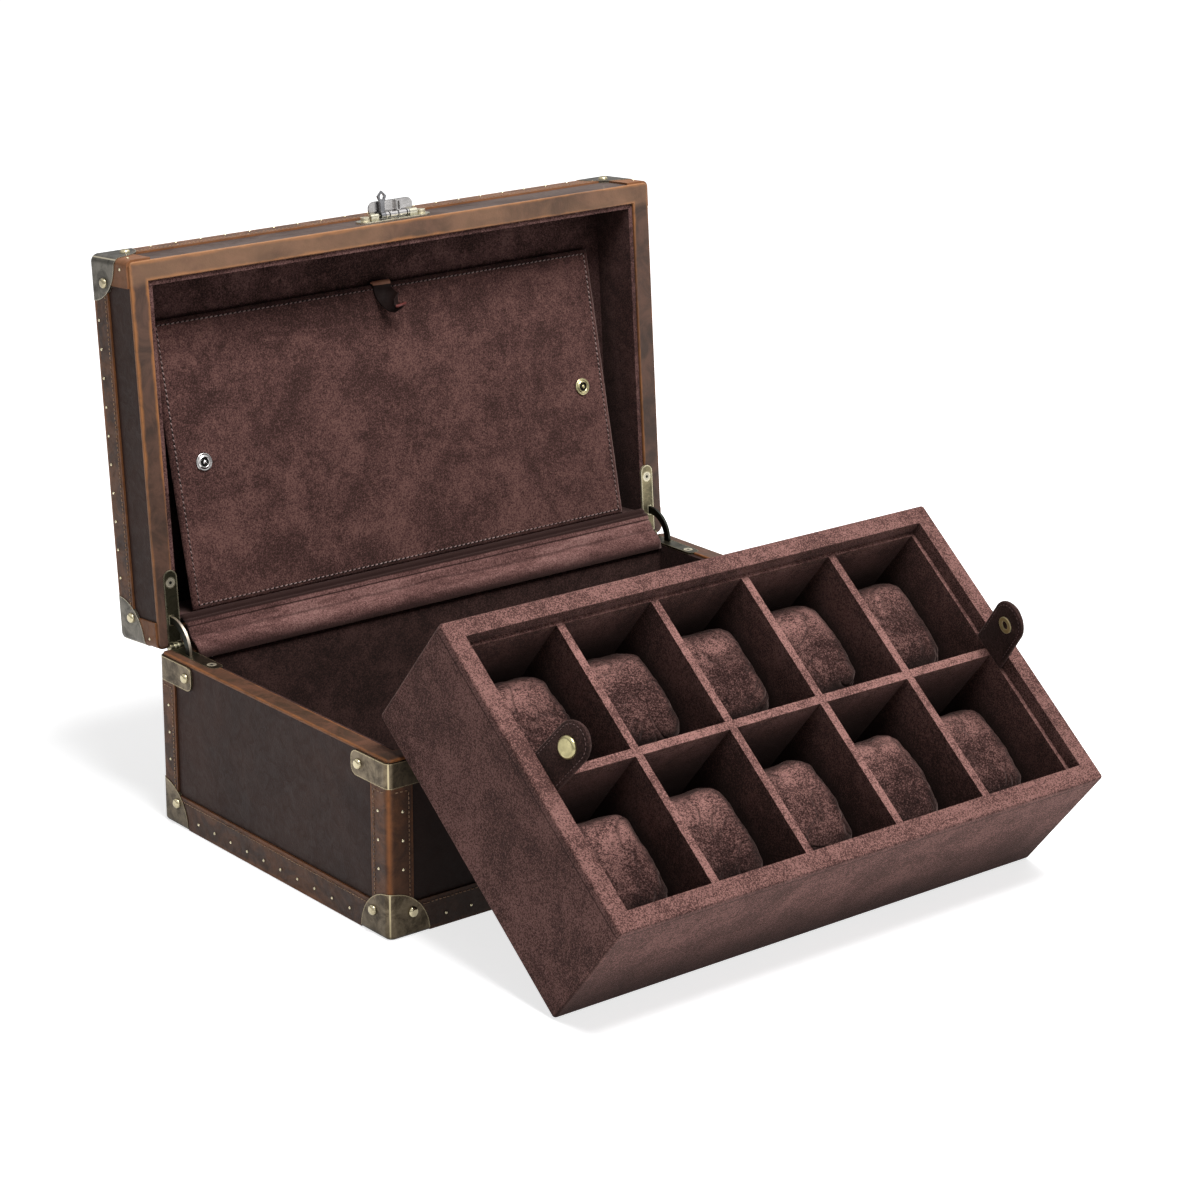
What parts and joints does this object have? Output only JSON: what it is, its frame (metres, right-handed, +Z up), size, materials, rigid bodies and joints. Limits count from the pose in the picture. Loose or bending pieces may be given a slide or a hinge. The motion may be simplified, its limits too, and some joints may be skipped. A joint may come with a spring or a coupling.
{
  "type": "watch display case",
  "caption": "Trunk-style leather watch case with its hinged lid open and its divided cushion tray lifted out and leaning on the front.",
  "frame": {"origin": "centre of the base's underside", "axes": "+X along the case's length to the right seen from the front, +Y to the back where the hinges are, +Z up"},
  "size_m": [0.387, 0.4734, 0.3478],
  "materials": {
    "case_leather": "dark brown leather, smooth with a soft sheen",
    "trim_leather": "burnished brown leather with paler worn edges",
    "suede": "plum-brown suede with an uneven nap",
    "board": "plain wood board",
    "brass": "antique brass, dark in the hollows and rubbed bright on the edges",
    "nickel": "polished nickel plate",
    "dark_steel": "blackened steel",
    "felt": "dark brown felt",
    "tab_leather": "suede-faced leather tab with ridged edges",
    "pull_leather": "thin red-brown leather"
  },
  "bodies": {
    "base": {"base_board_back": "board", "base_board_front": "board", "base_board_left": "board", "base_board_right": "board", "base_floor_board": "board", "base_corner_caps": "brass", "base_hinge_leaf_left": "brass", "base_hinge_leaf_right": "brass", "base_leather": "case_leather", "base_lining": "suede", "base_rim_binding": "trim_leather", "base_rivets": "brass", "base_screws": "nickel", "base_top_clips": "brass", "base_trims": "trim_leather", "clasp_catch": "nickel", "hinge_pins": "brass", "hinge_strip": "suede", "underside_pad": "felt"},
    "lid": {"lid_board_back": "board", "lid_board_front": "board", "lid_board_left": "board", "lid_board_right": "board", "lid_top_board": "board", "lid_corner_caps": "brass", "lid_hinge_leaf_left": "brass", "lid_hinge_leaf_right": "brass", "lid_leather": "case_leather", "lid_lining": "suede", "lid_rim_binding": "trim_leather", "lid_rivets": "brass", "lid_screws": "nickel", "lid_trims": "trim_leather", "clasp_plate": "nickel", "clasp_pin": "nickel"},
    "stay_left": {"stay_left": "dark_steel"},
    "stay_right": {"stay_right": "dark_steel"},
    "hasp": {"clasp_hasp": "nickel", "clasp_hook": "nickel"},
    "panel": {"cover_panel": "suede", "panel_studs": "nickel", "pull_tab": "pull_leather"},
    "tray": {"tray_box": "suede", "tray_liner": "suede", "tray_cross_dividers": "suede", "tray_long_divider": "suede"},
    "tab_left": {"tab_left": "tab_leather", "tab_snap_left": "brass"},
    "tab_right": {"tab_right": "tab_leather", "tab_snap_right": "brass"},
    "cushion_near_1": {"cushion_near_1": "suede"},
    "cushion_near_2": {"cushion_near_2": "suede"},
    "cushion_near_3": {"cushion_near_3": "suede"},
    "cushion_near_4": {"cushion_near_4": "suede"},
    "cushion_near_5": {"cushion_near_5": "suede"},
    "cushion_far_1": {"cushion_far_1": "suede"},
    "cushion_far_2": {"cushion_far_2": "suede"},
    "cushion_far_3": {"cushion_far_3": "suede"},
    "cushion_far_4": {"cushion_far_4": "suede"},
    "cushion_far_5": {"cushion_far_5": "suede"}
  },
  "joints": [
    {"name": "lid_hinge", "type": "hinge", "parent": "base", "child": "lid", "pos_m": [0, 0.114, 0.1043], "axis": [1, 0, 0], "range_deg": [0, 94.6], "deforming": ["hinge_strip"]},
    {"name": "stay_left_pivot", "type": "hinge", "parent": "base", "child": "stay_left", "pos_m": [-0.1808, 0.114, 0.1043], "axis": [1, 0, 0], "range_deg": [0, 47.3]},
    {"name": "stay_right_pivot", "type": "hinge", "parent": "base", "child": "stay_right", "pos_m": [0.1808, 0.114, 0.1043], "axis": [1, 0, 0], "range_deg": [0, 47.3]},
    {"name": "hasp_pivot", "type": "hinge", "parent": "lid", "child": "hasp", "pos_m": [0, 0.14233, 0.33296], "axis": [1, 0, 0], "range_deg": [0, 90]},
    {"name": "panel_tip", "type": "hinge", "parent": "lid", "child": "panel", "pos_m": [0, 0.12183, 0.12238], "axis": [1, 0, 0], "range_deg": [0, 35]},
    {"name": "tray_shift", "type": "slide", "parent": "base", "child": "tray", "axis": [0, -1, 0], "range_m": [0, 0.26]},
    {"name": "tab_left_flap", "type": "hinge", "parent": "tray", "child": "tab_left", "pos_m": [-0.1699, -0.22098, 0.12399], "axis": [0, 0.7749, 0.632], "range_deg": [-8, 76]},
    {"name": "tab_right_flap", "type": "hinge", "parent": "tray", "child": "tab_right", "pos_m": [0.1531, -0.22098, 0.12399], "axis": [0, -0.7749, -0.632], "range_deg": [-8, 76]},
    {"name": "cushion_near_1_lift", "type": "slide", "parent": "tray", "child": "cushion_near_1", "axis": [0, -0.632, 0.7749], "range_m": [0, 0.09]},
    {"name": "cushion_near_2_lift", "type": "slide", "parent": "tray", "child": "cushion_near_2", "axis": [0, -0.632, 0.7749], "range_m": [0, 0.09]},
    {"name": "cushion_near_3_lift", "type": "slide", "parent": "tray", "child": "cushion_near_3", "axis": [0, -0.632, 0.7749], "range_m": [0, 0.09]},
    {"name": "cushion_near_4_lift", "type": "slide", "parent": "tray", "child": "cushion_near_4", "axis": [0, -0.632, 0.7749], "range_m": [0, 0.09]},
    {"name": "cushion_near_5_lift", "type": "slide", "parent": "tray", "child": "cushion_near_5", "axis": [0, -0.632, 0.7749], "range_m": [0, 0.09]},
    {"name": "cushion_far_1_lift", "type": "slide", "parent": "tray", "child": "cushion_far_1", "axis": [0, -0.632, 0.7749], "range_m": [0, 0.09]},
    {"name": "cushion_far_2_lift", "type": "slide", "parent": "tray", "child": "cushion_far_2", "axis": [0, -0.632, 0.7749], "range_m": [0, 0.09]},
    {"name": "cushion_far_3_lift", "type": "slide", "parent": "tray", "child": "cushion_far_3", "axis": [0, -0.632, 0.7749], "range_m": [0, 0.09]},
    {"name": "cushion_far_4_lift", "type": "slide", "parent": "tray", "child": "cushion_far_4", "axis": [0, -0.632, 0.7749], "range_m": [0, 0.09]},
    {"name": "cushion_far_5_lift", "type": "slide", "parent": "tray", "child": "cushion_far_5", "axis": [0, -0.632, 0.7749], "range_m": [0, 0.09]}
  ],
  "couplings": [
    {"joint": "stay_left_pivot", "follows": "lid_hinge", "ratio": 0.5},
    {"joint": "stay_right_pivot", "follows": "lid_hinge", "ratio": 0.5},
    {"joint": "tray_shift", "follows": "lid_hinge", "m_per_rad": 0.157}
  ]
}
